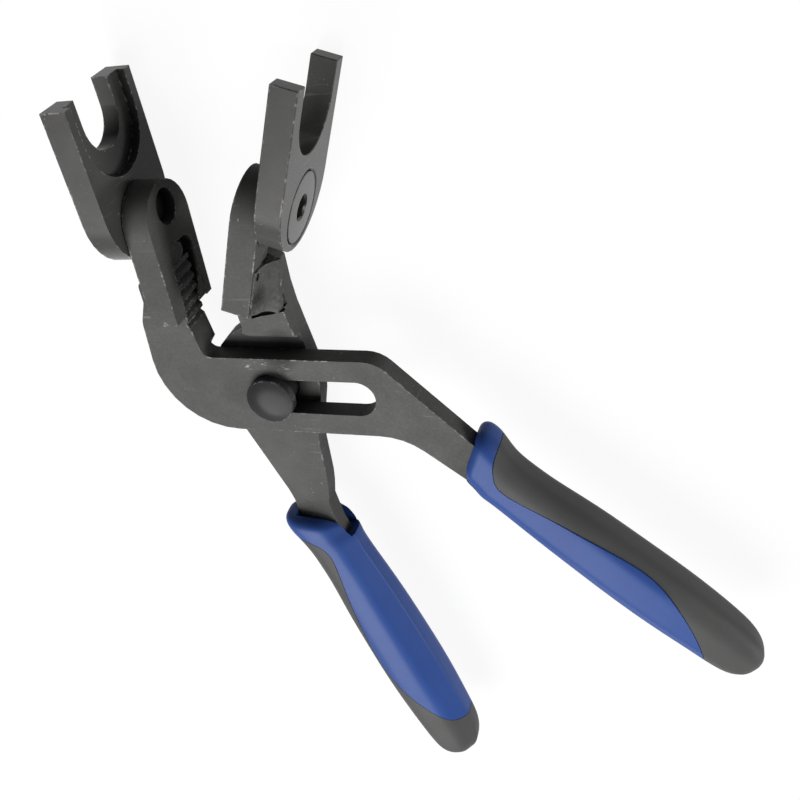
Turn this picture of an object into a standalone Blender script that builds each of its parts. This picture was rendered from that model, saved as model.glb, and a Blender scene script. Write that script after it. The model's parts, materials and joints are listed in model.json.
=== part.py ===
"""Adjustable slip-joint pliers with two bolted fork jaws, lying flat, in metres with +Z up."""

import math

import bmesh
import bpy
from mathutils import Matrix, Vector

# Fits between the pieces
SEAT_GAP = 0.0003
RUNNING_GAP = 0.0003

# Both levers are plates that meet on the plane z = 0, and the pivot starts at x = y = 0
LEVER_THICKNESS = 0.0082
JAW_OVERLAP = 0.0044
ADJUSTMENT_TRAVEL = 0.0325

# Pivot bolt with its washer and nut
BOLT_DIAMETER = 0.0136
BOLT_HEAD_DIAMETER = 0.0182
BOLT_HEAD_WALL = 0.0030
BOLT_HEAD_CROWN = 0.0022
BOLT_TIP = 0.0010
WASHER_DIAMETER = 0.0230
WASHER_THICKNESS = 0.0015
NUT_ACROSS_FLATS = 0.0190
NUT_HEIGHT = 0.0060

# Slotted lever in plan
SLOT_SIDE = 0.0088
THROAT_X = -0.0243
THROAT_RADIUS = 0.0035
GOOSENECK_X = -0.0470
GOOSENECK_RADIUS = 0.0290
SHOULDER_X = 0.0414
SHOULDER_RADIUS = 0.0120
ELBOW_X = 0.0480
ELBOW_RADIUS = 0.0260
BACK_RELIEF_RADIUS = 0.0310
HEEL_DEPTH = 0.0095
HEEL_DROP = 0.0028
HEEL_RADIUS = 0.0100
BUMP_DEPTH = 0.0064
BUMP_LOW = 0.0138
BUMP_HIGH = 0.0070
BUMP_RADIUS = 0.0020

# Pivot lever in plan
HUB_RADIUS = 0.0266
HUB_FIRST_ANGLE = 200.0
HUB_LAST_ANGLE = 108.0
HUB_RIGHT_X = 0.0160
HUB_RIGHT_RADIUS = 0.0250
WAIST_X = 0.0103
WAIST_Y = -0.0250
WAIST_RADIUS = 0.0300
SHANK_OUTER = 0.0070
SHANK_INNER = 0.0120
SHOULDER_LEAD = 0.0100
JAW_BACK = 0.0023
JAW_BACK_DROP = 0.0042
JAW_NECK_X = 0.0090
JAW_NECK_Y = 0.0360
JAW_NECK_RADIUS = 0.0500
STEP_X = -0.0065
STEP_Y = 0.0220
STEP_RUN = 0.0100
CHAMFER_WIDTH = 0.0070
CHAMFER_DEPTH = 0.0042
PAD_EDGE_Y = 0.0321
PAD_EDGE_ANGLE = 13.8

# Handles: angle of the axis in plan, its distance from the pivot, and where the grip starts along it
SLOTTED_HANDLE_ANGLE = -40.9
SLOTTED_HANDLE_OFFSET = 0.0275
SLOTTED_GRIP_START = 0.0660
PIVOT_HANDLE_ANGLE = -70.2
PIVOT_HANDLE_OFFSET = -0.0174
PIVOT_GRIP_START = 0.0560
PIVOT_GRIP_HEIGHT = 0.0008
SHANK_HALF = 0.0075
TANG_HALF = 0.0046
TANG_LENGTH = 0.0950
JOGGLE_LEAD = 0.0050
JOGGLE_LENGTH = 0.0150
JOGGLE_RISE = 0.0034

# Grips: half heights to the outer and inner side, half depths, and the lengths over which they change
GRIP_LENGTH = 0.1450
COLLAR_ROUND = 0.0018
COLLAR_SLANT = 0.0080
COLLAR_LENGTH = 0.0100
COLLAR_RUNOUT = 0.0110
NECK_LENGTH = 0.0130
SWELL_LENGTH = 0.0600
BUTT_LENGTH = 0.0240
COLLAR_OUTER = 0.0148
COLLAR_INNER = 0.0106
COLLAR_DEPTH = 0.0110
NECK_OUTER = 0.0108
NECK_INNER = 0.0106
NECK_DEPTH = 0.0098
BELLY_OUTER = 0.0130
BELLY_INNER = 0.0139
BELLY_DEPTH = 0.0114
SECTION_POWER = 3.0
BUTT_POWER = 2.6
BUTT_TURN = math.radians(83)
BUTT_STEPS = 5
MOUTH_LENGTH = 0.0140
MOUTH_MARGIN = 0.0008
MOUTH_DEPTH = 0.0057
PIVOT_MOUTH_HEIGHT = -0.0020

# Grip covers: skin, and their edge in plan as (distance from the grip's front or butt, offset outward)
COVER_THICKNESS = 0.0022
COVER_FRONT_EDGE = ((0.0100, 0.0090), (0.0150, 0.0022), (0.0205, 0.0000), (0.0495, 0.0052))
COVER_BUTT_EDGE = ((0.0645, 0.0086), (0.0435, 0.0043), (0.0225, -0.0070))
COVER_TAIL = 0.0030
COVER_EDGE_STEPS = 4

# Jaws: a frame on each screw axis, at the seat between fork and block
JAW_HEIGHT = 0.0018
LEFT_SEAT = (-0.0370, 0.0720)
LEFT_JAW_ANGLE = 1.2
RIGHT_SEAT = (0.0141, 0.0738)
RIGHT_JAW_ANGLE = 161.4
BLOCK_WIDTH = 0.0286
BLOCK_THICKNESS = 0.0100
BLOCK_TIP = 0.0090
BLOCK_FOOT = -0.0390
BLOCK_SLOT_TOP = -0.0132
BLOCK_SLOT_RADIUS = 0.0060
JAW_TOP = -0.0200
JAW_ROOT = -0.0445
TOOTH_FACE = 0.0095
TOOTH_LEAD = 0.0028
TOOTH_PITCH = 0.0040
TOOTH_DEPTH = 0.0013
TOOTH_COUNT = 6
WELD_LENGTH = 0.0085
WELD_SEGMENTS = 12

# Forks: both share a width and a thickness, and each has its own mouth
FORK_WIDTH = 0.0424
FORK_THICKNESS = 0.0090
LEFT_FORK_TURN = 3.3
LEFT_FORK_HEEL = 0.0174
LEFT_FORK_REACH = 0.0419
LEFT_MOUTH_HALF = 0.0108
LEFT_MOUTH_ROOT = 0.0325
LEFT_RECESS_HALF = 0.0174
LEFT_RECESS_ROOT = 0.0302
LEFT_RECESS_DEPTH = 0.0030
RIGHT_FORK_TURN = 1.8
RIGHT_FORK_HEEL = 0.0146
RIGHT_FORK_REACH = 0.0447
RIGHT_MOUTH_HALF = 0.0149
RIGHT_MOUTH_ROOT = 0.0340

# Countersunk fork screws
SCREW_DIAMETER = 0.0120
SCREW_HEAD_DIAMETER = 0.0246
SCREW_HEAD_EDGE = 0.0006
SCREW_REACH = 0.0060
SCREW_TIP_CHAMFER = 0.0010
SOCKET_ACROSS_FLATS = 0.0080
SOCKET_DEPTH = 0.0048

# Fineness of arcs, and how far cutters run past what they cut
ARC_STEP = math.radians(12)
ROUND_SEGMENTS = 32
DOME_STEPS = 6
RING_POINTS = 26
CUT_MARGIN = 0.0020
FAR = 0.3000

LEVER_FACE = SEAT_GAP / 2
SLOT_HALF = BOLT_DIAMETER / 2 + RUNNING_GAP
SLOTTED_GRIP_HEIGHT = (LEVER_THICKNESS + LEVER_FACE) / 2
PIVOT_TANG_HEIGHT = JOGGLE_RISE - SLOTTED_GRIP_HEIGHT
BLOCK_SLOT_HALF = LEVER_THICKNESS + SEAT_GAP


class Handle:
    """A handle's axis in plan, with distances from the front of its grip and offsets to its outer side.

    Its heights are the middles of the grip, of the tang in it, and of the collar's mouth.
    """

    def __init__(self, angle, offset, start, outer, heights):
        self.height, self.tang_height, self.mouth_height = heights
        turn = math.radians(angle)
        self.along = Vector((math.cos(turn), math.sin(turn)))
        across = Vector((-self.along.y, self.along.x))
        self.front = across * offset + self.along * start
        self.outward = across * outer

    def place(self, distance, outward):
        return self.front + self.along * distance + self.outward * outward

    def distance(self, point):
        return (point.xy - self.front).dot(self.along)


class Jaw:
    """A jaw's frame: origin on the screw axis at the seat, Z into the block, Y towards the fork's tips."""

    def __init__(self, seat, angle):
        turn = math.radians(angle)
        inward = Vector((math.cos(turn), math.sin(turn), 0))
        self.side = math.copysign(1, inward.x)
        tips = Vector((-inward.y, inward.x, 0)) * self.side
        self.frame = Matrix((tips.cross(inward), tips, inward)).transposed().to_4x4()
        self.frame.translation = (*seat, JAW_HEIGHT)

    def plan(self, up, inward):
        return (self.frame @ Vector((0, up, inward))).xy

    def level(self, height):
        """Local X of a height above the plane where the levers meet."""
        return self.side * (JAW_HEIGHT - height)


SLOTTED_HEIGHTS = (SLOTTED_GRIP_HEIGHT, SLOTTED_GRIP_HEIGHT, SLOTTED_GRIP_HEIGHT)
PIVOT_HEIGHTS = (PIVOT_GRIP_HEIGHT, PIVOT_TANG_HEIGHT, PIVOT_MOUTH_HEIGHT)
SLOTTED_HANDLE = Handle(SLOTTED_HANDLE_ANGLE, SLOTTED_HANDLE_OFFSET, SLOTTED_GRIP_START, 1, SLOTTED_HEIGHTS)
PIVOT_HANDLE = Handle(PIVOT_HANDLE_ANGLE, PIVOT_HANDLE_OFFSET, PIVOT_GRIP_START, -1, PIVOT_HEIGHTS)
LEFT_JAW = Jaw(LEFT_SEAT, LEFT_JAW_ANGLE)
RIGHT_JAW = Jaw(RIGHT_SEAT, RIGHT_JAW_ANGLE)


def clear_scene():
    for item in list(bpy.data.objects):
        bpy.data.objects.remove(item, do_unlink=True)


def collection(name):
    if name not in bpy.data.collections:
        bpy.context.scene.collection.children.link(bpy.data.collections.new(name))
    return bpy.data.collections[name]


def finish(name, colour, roughness, metallic):
    made = bpy.data.materials.new(name)
    made.use_nodes = True
    shader = made.node_tree.nodes["Principled BSDF"]
    shader.inputs["Base Color"].default_value = (*colour, 1)
    shader.inputs["Roughness"].default_value = roughness
    shader.inputs["Metallic"].default_value = metallic
    return made


def empty(name, parent=None, frame=None):
    made = bpy.data.objects.new(name, None)
    collection("slip_joint_pliers").objects.link(made)
    made.parent = parent
    if frame:
        made.matrix_local = frame
    return made


def add(name, mesh, parent, surface=None):
    """A new object: a part where it has a surface finish, and otherwise a cutter."""
    made = bpy.data.objects.new(name, mesh)
    made.parent = parent
    if surface:
        collection("slip_joint_pliers").objects.link(made)
        mesh.materials.append(surface)
        mesh.shade_smooth()
        mesh.set_sharp_from_angle(angle=math.radians(35))
    else:
        collection("pliers_cutters").objects.link(made)
        made.hide_render = True
        made.display_type = "WIRE"
    return made


def mesh_of(shape, name):
    bmesh.ops.recalc_face_normals(shape, faces=shape.faces)
    mesh = bpy.data.meshes.new(name)
    shape.to_mesh(mesh)
    shape.free()
    return mesh


def arc(radius, first, last):
    """Points round the pivot between two angles in degrees."""
    turn = math.radians(last - first)
    steps = math.ceil(abs(turn) / ARC_STEP)
    turns = [math.radians(first) + turn * k / steps for k in range(steps + 1)]
    return [Vector((radius * math.cos(a), radius * math.sin(a))) for a in turns]


def circle(radius):
    turns = [math.tau * k / ROUND_SEGMENTS for k in range(ROUND_SEGMENTS)]
    return [Vector((radius * math.cos(a), radius * math.sin(a))) for a in turns]


def corner(point, radius):
    return (point[0], point[1], radius)


def outline(*corners):
    """Closed outline through plain points and (x, y, radius) corners, each rounded by its radius."""
    points = []
    for i, here in enumerate(corners):
        if len(here) == 2:
            points.append(Vector(here))
            continue
        place, radius = Vector(here[:2]), here[2]
        back = (Vector(corners[i - 1][:2]) - place).normalized()
        ahead = (Vector(corners[(i + 1) % len(corners)][:2]) - place).normalized()
        half = back.angle(ahead) / 2
        centre = place + (back + ahead).normalized() * (radius / math.sin(half))
        first = place + back * (radius / math.tan(half)) - centre
        last = place + ahead * (radius / math.tan(half)) - centre
        turn = math.atan2(first.x * last.y - first.y * last.x, first.dot(last))
        steps = max(1, math.ceil(abs(turn) / ARC_STEP))
        points += [centre + Matrix.Rotation(turn * k / steps, 2) @ first for k in range(steps + 1)]
    return points


def smooth_line(points, steps):
    """A curve through points, by Catmull-Rom spans."""
    ends = [points[0] * 2 - points[1], *points, points[-1] * 2 - points[-2]]
    line = []
    for before, here, there, after in zip(ends, ends[1:], ends[2:], ends[3:]):
        for k in range(steps):
            t = k / steps
            bend = here * 2 + (there - before) * t
            bend += (before * 2 - here * 5 + there * 4 - after) * t**2
            bend += (here * 3 - before - there * 3 + after) * t**3
            line.append(bend / 2)
    return [*line, points[-1]]


def plate(name, outlines, low, high):
    """Mesh between two heights of a flat outline, with any further outlines as holes."""
    curve = bpy.data.curves.new(name, "CURVE")
    curve.dimensions = "2D"
    curve.fill_mode = "BOTH"
    curve.extrude = (high - low) / 2
    for points in outlines:
        spline = curve.splines.new("POLY")
        spline.points.add(len(points) - 1)
        for point, place in zip(spline.points, points):
            point.co = (place.x, place.y, 0, 1)
        spline.use_cyclic_u = True
    drawn = bpy.data.objects.new(name, curve)
    collection("pliers_cutters").objects.link(drawn)
    bpy.context.view_layer.update()
    flat = bpy.data.meshes.new_from_object(drawn.evaluated_get(bpy.context.evaluated_depsgraph_get()))
    bpy.data.objects.remove(drawn)
    shape = bmesh.new()
    shape.from_mesh(flat)
    bmesh.ops.remove_doubles(shape, verts=shape.verts, dist=1e-6)
    bmesh.ops.translate(shape, verts=shape.verts, vec=(0, 0, (low + high) / 2))
    return mesh_of(shape, name)


def cone(name, low_radius, high_radius, low, high, segments=ROUND_SEGMENTS, at=(0, 0)):
    """Mesh of a cone or cylinder along Z between two heights."""
    shape = bmesh.new()
    bmesh.ops.create_cone(
        shape, cap_ends=True, segments=segments, radius1=low_radius, radius2=high_radius, depth=high - low
    )
    bmesh.ops.translate(shape, verts=shape.verts, vec=(*at, (low + high) / 2))
    return mesh_of(shape, name)


def loft(name, rings):
    """Mesh skinned over rings with the same number of points, closed by flat ends."""
    shape = bmesh.new()
    loops = [[shape.verts.new(point) for point in ring] for ring in rings]
    for near, far in zip(loops, loops[1:]):
        for i, vertex in enumerate(near):
            j = (i + 1) % len(near)
            shape.faces.new((vertex, near[j], far[j], far[i]))
    shape.faces.new(loops[0])
    shape.faces.new(loops[-1])
    return mesh_of(shape, name)


def turned(name, profile, parent, surface):
    """A profile of (radius, height) points, from top to bottom, swept round the local Z axis."""
    shape = bmesh.new()
    line = [shape.verts.new((radius, 0, height)) for radius, height in profile]
    for first, last in zip(line, line[1:]):
        shape.edges.new((first, last))
    mesh = bpy.data.meshes.new(name)
    shape.to_mesh(mesh)
    shape.free()
    made = add(name, mesh, parent, surface)
    sweep = made.modifiers.new("sweep", "SCREW")
    sweep.steps = sweep.render_steps = ROUND_SEGMENTS
    sweep.use_merge_vertices = True
    sweep.merge_threshold = 1e-5
    return made


def boolean(piece, other, operation="DIFFERENCE"):
    cut = piece.modifiers.new(other.name, "BOOLEAN")
    cut.operation = operation
    cut.object = other
    return piece


def make_real(piece):
    """Replaces the piece's mesh with what its modifiers give."""
    bpy.context.view_layer.update()
    mesh = bpy.data.meshes.new_from_object(piece.evaluated_get(bpy.context.evaluated_depsgraph_get()))
    piece.modifiers.clear()
    piece.data = mesh
    return piece


def hexagon_radius(across_flats):
    return across_flats / 2 / math.cos(math.pi / 6)


def tang(handle, grow=0.0):
    """Corners of a tapered tang, out along its outer side and back along its inner side."""
    end = TANG_LENGTH + grow
    return [
        tuple(handle.place(0, SHANK_HALF + grow)),
        corner(handle.place(end, TANG_HALF + grow), TANG_HALF / 2),
        corner(handle.place(end, -TANG_HALF - grow), TANG_HALF / 2),
        tuple(handle.place(0, -SHANK_HALF - grow)),
    ]


def tooth_grooves(name, jaw, parent):
    """Cutter of V-shaped cross grooves on a jaw's tooth face."""
    shape = bmesh.new()
    groove = TOOTH_DEPTH * math.sqrt(2)
    for k in range(TOOTH_COUNT):
        bar = bmesh.ops.create_cube(shape, size=1)["verts"]
        bmesh.ops.scale(shape, verts=bar, vec=(BLOCK_WIDTH, groove, groove))
        bmesh.ops.rotate(shape, verts=bar, matrix=Matrix.Rotation(math.pi / 4, 3, "X"))
        bmesh.ops.translate(shape, verts=bar, vec=(0, JAW_TOP - TOOTH_LEAD - k * TOOTH_PITCH, TOOTH_FACE))
    bmesh.ops.transform(shape, verts=shape.verts, matrix=jaw.frame)
    return add(name, mesh_of(shape, name), parent)


def slotted_lever(parent, surface):
    """Front lever: toothed jaw, gooseneck, plate with the adjustment slot, shank and tang."""
    edge = SLOT_HALF + SLOT_SIDE
    jaw = LEFT_JAW
    shape = outline(
        *tang(SLOTTED_HANDLE),
        (ELBOW_X, -edge, ELBOW_RADIUS),
        (GOOSENECK_X, -edge, GOOSENECK_RADIUS),
        corner(jaw.plan(BLOCK_FOOT - HEEL_DROP, -HEEL_DEPTH), HEEL_RADIUS),
        corner(jaw.plan(JAW_TOP - BUMP_LOW, -BUMP_DEPTH), BUMP_RADIUS),
        corner(jaw.plan(JAW_TOP - BUMP_HIGH, -BUMP_DEPTH), BUMP_RADIUS),
        tuple(jaw.plan(JAW_TOP - JAW_BACK, -JAW_BACK)),
        tuple(jaw.plan(JAW_TOP, TOOTH_FACE)),
        tuple(jaw.plan(JAW_ROOT, TOOTH_FACE)),
        (THROAT_X, edge, THROAT_RADIUS),
        (SHOULDER_X, edge, SHOULDER_RADIUS),
    )
    far_end = ADJUSTMENT_TRAVEL + SLOT_HALF
    slot = outline(
        (-SLOT_HALF, -SLOT_HALF, SLOT_HALF),
        (far_end, -SLOT_HALF, SLOT_HALF),
        (far_end, SLOT_HALF, SLOT_HALF),
        (-SLOT_HALF, SLOT_HALF, SLOT_HALF),
    )
    solid = plate("slotted_lever", [shape, slot], -JAW_OVERLAP, LEVER_THICKNESS)
    piece = add("slotted_lever", solid, parent, surface)
    relief = arc(BACK_RELIEF_RADIUS, 90, 270) + outline((0, -FAR), (FAR, -FAR), (FAR, BACK_RELIEF_RADIUS))
    cleared = plate("slotted_lever_relief", [relief], -JAW_OVERLAP - CUT_MARGIN, LEVER_FACE)
    boolean(piece, add("slotted_lever_relief", cleared, parent))
    boolean(piece, tooth_grooves("left_tooth_grooves", jaw, parent))
    return make_real(piece)


def pivot_lever(parent, surface):
    """Back lever: toothed jaw raised to the front, round hub, joggled shank and tang."""
    handle, jaw = PIVOT_HANDLE, RIGHT_JAW
    shape = outline(
        *reversed(tang(handle)),
        tuple(handle.place(-SHOULDER_LEAD, SHANK_OUTER)),
        *arc(HUB_RADIUS, HUB_FIRST_ANGLE, HUB_LAST_ANGLE),
        tuple(jaw.plan(JAW_ROOT, TOOTH_FACE)),
        tuple(jaw.plan(JAW_TOP, TOOTH_FACE)),
        tuple(jaw.plan(JAW_TOP - JAW_BACK_DROP, -JAW_BACK)),
        (JAW_NECK_X, JAW_NECK_Y, JAW_NECK_RADIUS),
        (HUB_RIGHT_X, 0, HUB_RIGHT_RADIUS),
        (WAIST_X, WAIST_Y, WAIST_RADIUS),
        tuple(handle.place(-SHOULDER_LEAD, -SHANK_INNER)),
    )
    bore = circle(BOLT_DIAMETER / 2 + RUNNING_GAP)
    solid = plate("pivot_lever", [shape, bore], -LEVER_THICKNESS, JAW_OVERLAP)
    piece = add("pivot_lever", solid, parent, surface)
    rise_top = STEP_Y + STEP_RUN
    relief = outline(
        (-FAR, -FAR),
        (FAR, -FAR),
        (FAR, STEP_Y),
        (STEP_X, STEP_Y),
        (STEP_X - STEP_RUN, rise_top),
        (-FAR, rise_top),
    )
    cleared = plate("pivot_lever_relief", [relief], -LEVER_FACE, JAW_OVERLAP + CUT_MARGIN)
    boolean(piece, add("pivot_lever_relief", cleared, parent))
    boolean(piece, jaw_chamfer(jaw, parent))
    boolean(piece, tooth_grooves("right_tooth_grooves", jaw, parent))
    make_real(piece)
    joggle(piece.data, handle)
    return piece


def jaw_chamfer(jaw, parent):
    """Cutter that slopes the front of the pivot lever's jaw towards its back edge, above the raised pad."""
    top = jaw.plan(JAW_TOP - JAW_BACK_DROP, -JAW_BACK)
    along = (top - Vector((JAW_NECK_X, JAW_NECK_Y))).normalized().to_3d()
    outward = Vector((along.y, -along.x, 0))
    down = (outward * CHAMFER_WIDTH - Vector((0, 0, CHAMFER_DEPTH))).normalized()
    normal = down.cross(along)
    frame = Matrix((along, normal.cross(along), normal)).transposed().to_4x4()
    frame.translation = top.to_3d() + Vector((0, 0, JAW_OVERLAP)) - outward * CHAMFER_WIDTH
    shape = bmesh.new()
    bmesh.ops.create_cube(shape, size=FAR / 2)
    bmesh.ops.translate(shape, verts=shape.verts, vec=(0, 0, FAR / 4))
    bmesh.ops.transform(shape, verts=shape.verts, matrix=frame)
    slope = add("jaw_chamfer", mesh_of(shape, "jaw_chamfer"), parent)
    rise = FAR * math.tan(math.radians(PAD_EDGE_ANGLE))
    above = [(-FAR, PAD_EDGE_Y - rise), (FAR, PAD_EDGE_Y + rise), (FAR, FAR), (-FAR, FAR)]
    low, high = -LEVER_THICKNESS - CUT_MARGIN, JAW_OVERLAP + CUT_MARGIN
    room = plate("jaw_chamfer_room", [outline(*above)], low, high)
    return boolean(slope, add("jaw_chamfer_room", room, parent), "INTERSECT")


def joggle(mesh, handle):
    """Raises the back lever's tang towards the front lever's, over a sloping stretch of shank."""
    shape = bmesh.new()
    shape.from_mesh(mesh)
    for distance in (-JOGGLE_LEAD, JOGGLE_LENGTH - JOGGLE_LEAD):
        every = [*shape.verts, *shape.edges, *shape.faces]
        level = handle.place(distance, 0).to_3d()
        bmesh.ops.bisect_plane(shape, geom=every, dist=1e-6, plane_co=level, plane_no=handle.along.to_3d())
    for vertex in shape.verts:
        share = (handle.distance(vertex.co) + JOGGLE_LEAD) / JOGGLE_LENGTH
        vertex.co.z += JOGGLE_RISE * min(max(share, 0), 1)
    shape.to_mesh(mesh)
    shape.free()


def pivot_bolt(parent, surface):
    """Bolt with a domed head in front and room for the washer and nut behind."""
    head, shank = BOLT_HEAD_DIAMETER / 2, BOLT_DIAMETER / 2
    seat = LEVER_THICKNESS + SEAT_GAP
    dome = [
        (head * math.sin(turn), seat + BOLT_HEAD_WALL + BOLT_HEAD_CROWN * math.cos(turn))
        for turn in (math.pi / 2 * k / DOME_STEPS for k in range(DOME_STEPS + 1))
    ]
    tip = -LEVER_THICKNESS - WASHER_THICKNESS - NUT_HEIGHT - 2 * SEAT_GAP - BOLT_TIP
    end = [(shank, tip + BOLT_TIP), (shank - BOLT_TIP, tip), (0, tip)]
    profile = [*dome, (head, seat), (shank, seat), *end]
    return turned("pivot_bolt", profile, parent, surface)


def pivot_fasteners(parent, surface):
    """Washer and hexagon nut on the back of the pivot lever."""
    bore = circle(BOLT_DIAMETER / 2 + RUNNING_GAP)
    top = -LEVER_THICKNESS - SEAT_GAP
    washer = [circle(WASHER_DIAMETER / 2), bore]
    add("pivot_washer", plate("pivot_washer", washer, top - WASHER_THICKNESS, top), parent, surface)
    top -= WASHER_THICKNESS + SEAT_GAP
    reach = hexagon_radius(NUT_ACROSS_FLATS)
    turns = [k * math.pi / 3 for k in range(6)]
    hexagon = [Vector((reach * math.cos(turn), reach * math.sin(turn))) for turn in turns]
    add("pivot_nut", plate("pivot_nut", [hexagon, bore], top - NUT_HEIGHT, top), parent, surface)


def jaw_block(name, jaw, parent, surface):
    """Plate with a round top and a screw hole, whose slot straddles the lever's jaw."""
    half = BLOCK_WIDTH / 2
    first, last = sorted((jaw.level(-BLOCK_SLOT_HALF), jaw.level(BLOCK_SLOT_HALF)))
    shape = outline(
        (half, BLOCK_TIP, half),
        (-half, BLOCK_TIP, half),
        (-half, BLOCK_FOOT),
        (first, BLOCK_FOOT),
        (first, BLOCK_SLOT_TOP, BLOCK_SLOT_RADIUS),
        (last, BLOCK_SLOT_TOP, BLOCK_SLOT_RADIUS),
        (last, BLOCK_FOOT),
        (half, BLOCK_FOOT),
    )
    hole = circle(SCREW_DIAMETER / 2 + SEAT_GAP)
    return add(name, plate(name, [shape, hole], SEAT_GAP / 2, BLOCK_THICKNESS), parent, surface)


def weld(name, jaw, slack_side, parent, surface):
    """Bead in the block's slot, on the side where the jaw leaves room."""
    radius = (BLOCK_SLOT_HALF - JAW_OVERLAP) / 2 - SEAT_GAP
    across = jaw.level(slack_side * (BLOCK_SLOT_HALF + JAW_OVERLAP) / 2)
    low = (BLOCK_THICKNESS - WELD_LENGTH) / 2
    bead = cone(name, radius, radius, low, low + WELD_LENGTH, WELD_SEGMENTS, (across, BLOCK_FOOT + radius))
    return add(name, bead, parent, surface)


def fork(name, turn, heel, reach, mouth_half, mouth_root, parent, surface):
    """U-shaped plate with a round heel, turned a little about its countersunk screw."""
    half = FORK_WIDTH / 2
    front = -SEAT_GAP / 2
    shape = outline(
        (half, reach),
        (half, -heel, half),
        (-half, -heel, half),
        (-half, reach),
        (-mouth_half, reach),
        (-mouth_half, mouth_root - mouth_half, mouth_half),
        (mouth_half, mouth_root - mouth_half, mouth_half),
        (mouth_half, reach),
    )
    hole = circle(SCREW_DIAMETER / 2 + SEAT_GAP)
    piece = add(name, plate(name, [shape, hole], front - FORK_THICKNESS, front), parent, surface)
    piece.rotation_euler.z = math.radians(turn)
    wide = SCREW_HEAD_DIAMETER / 2 + SEAT_GAP + SCREW_HEAD_EDGE + CUT_MARGIN
    base = front - FORK_THICKNESS - CUT_MARGIN
    sink = cone(name + "_countersink", wide, 0, base, base + wide)
    return boolean(piece, add(name + "_countersink", sink, piece))


def fork_recess(piece, half, depth, root, reach):
    """Steps the inner face of a fork back round its mouth."""
    past = reach + CUT_MARGIN
    shape = outline((half, past), (half, root - half, half), (-half, root - half, half), (-half, past))
    name = piece.name + "_recess"
    boolean(piece, add(name, plate(name, [shape], -SEAT_GAP / 2 - depth, CUT_MARGIN), piece))


def fork_screw(name, parent, surface):
    """Countersunk screw with a hexagon socket, whose tip stops inside the block."""
    head, shank = SCREW_HEAD_DIAMETER / 2, SCREW_DIAMETER / 2
    face = -SEAT_GAP / 2 - FORK_THICKNESS
    profile = [
        (0, SCREW_REACH),
        (shank - SCREW_TIP_CHAMFER, SCREW_REACH),
        (shank, SCREW_REACH - SCREW_TIP_CHAMFER),
        (shank, face + SCREW_HEAD_EDGE + head - shank),
        (head, face + SCREW_HEAD_EDGE),
        (head, face),
        (0, face),
    ]
    piece = turned(name, profile, parent, surface)
    reach = hexagon_radius(SOCKET_ACROSS_FLATS)
    socket = cone(name + "_socket", reach, reach, face - CUT_MARGIN, face + SOCKET_DEPTH, 6)
    return boolean(piece, add(name + "_socket", socket, parent))


def grip_sections(inset):
    """Distance, outer and inner half height and half depth of each section along a grip."""
    collar = [size - inset for size in (COLLAR_OUTER, COLLAR_INNER, COLLAR_DEPTH)]
    lip = [size - COLLAR_ROUND for size in collar]
    neck = [size - inset for size in (NECK_OUTER, NECK_INNER, NECK_DEPTH)]
    belly = [size - inset for size in (BELLY_OUTER, BELLY_INNER, BELLY_DEPTH)]
    neck_start = COLLAR_LENGTH + COLLAR_RUNOUT
    neck_end = neck_start + NECK_LENGTH
    spans = [
        (0, COLLAR_ROUND, lip, collar, 2),
        (COLLAR_ROUND, COLLAR_LENGTH, collar, collar, 1),
        (COLLAR_LENGTH, neck_start, collar, neck, 4),
        (neck_start, neck_end, neck, neck, 1),
        (neck_end, neck_end + SWELL_LENGTH, neck, belly, 4),
        (neck_end + SWELL_LENGTH, GRIP_LENGTH - BUTT_LENGTH, belly, belly, 1),
    ]
    sections = []
    for start, end, first, last, steps in spans:
        for k in range(steps):
            share = k / steps
            ease = share * share * (3 - 2 * share)
            sizes = [a + (b - a) * ease for a, b in zip(first, last)]
            sections.append((start + (end - start) * share, *sizes))
    for k in range(BUTT_STEPS + 1):
        share = math.sin(BUTT_TURN * k / BUTT_STEPS)
        size = (1 - share**BUTT_POWER) ** (1 / BUTT_POWER)
        distance = GRIP_LENGTH - BUTT_LENGTH + (BUTT_LENGTH - inset) * share
        sections.append((distance, *(value * size for value in belly)))
    return sections


def grip_form(name, handle, inset=0.0):
    """Mesh of a whole grip, or of what is left under a skin of the inset's thickness."""
    rings = []
    for distance, outer, inner, depth in grip_sections(inset):
        ring = []
        for k in range(RING_POINTS):
            turn = math.tau * k / RING_POINTS
            across = math.copysign(abs(math.cos(turn)) ** (2 / SECTION_POWER), math.cos(turn))
            rise = math.copysign(abs(math.sin(turn)) ** (2 / SECTION_POWER), math.sin(turn))
            across *= outer if across > 0 else inner
            slant = COLLAR_SLANT * (COLLAR_OUTER - across) / (COLLAR_OUTER + COLLAR_INNER)
            slant *= max(0, 1 - distance / (COLLAR_LENGTH + COLLAR_RUNOUT))
            ring.append((*handle.place(distance + slant, across), handle.height + rise * depth))
        rings.append(ring)
    return loft(name, rings)


def cover_region(handle, grow=0.0):
    """Plan outline of where a grip is covered: its outer side and its butt."""
    wide = COLLAR_OUTER + CUT_MARGIN
    first = COVER_FRONT_EDGE[0][0] - COLLAR_ROUND
    last = GRIP_LENGTH - COVER_BUTT_EDGE[-1][0] + COVER_TAIL
    butt_edge = [(GRIP_LENGTH - distance, outward) for distance, outward in COVER_BUTT_EDGE]
    edge = [(first, wide), *COVER_FRONT_EDGE, *butt_edge, (last, -wide)]
    line = smooth_line([handle.place(*point) for point in edge], COVER_EDGE_STEPS)
    moved = []
    for i, here in enumerate(line):
        run = (line[min(i + 1, len(line) - 1)] - line[max(i - 1, 0)]).normalized()
        away = Vector((run.y, -run.x))
        moved.append(here + away * math.copysign(grow, -away.dot(handle.outward + handle.along)))
    far = GRIP_LENGTH + CUT_MARGIN
    past = wide + CUT_MARGIN
    return [*moved, handle.place(far, -wide), handle.place(far, past), handle.place(0, past)]


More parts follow.
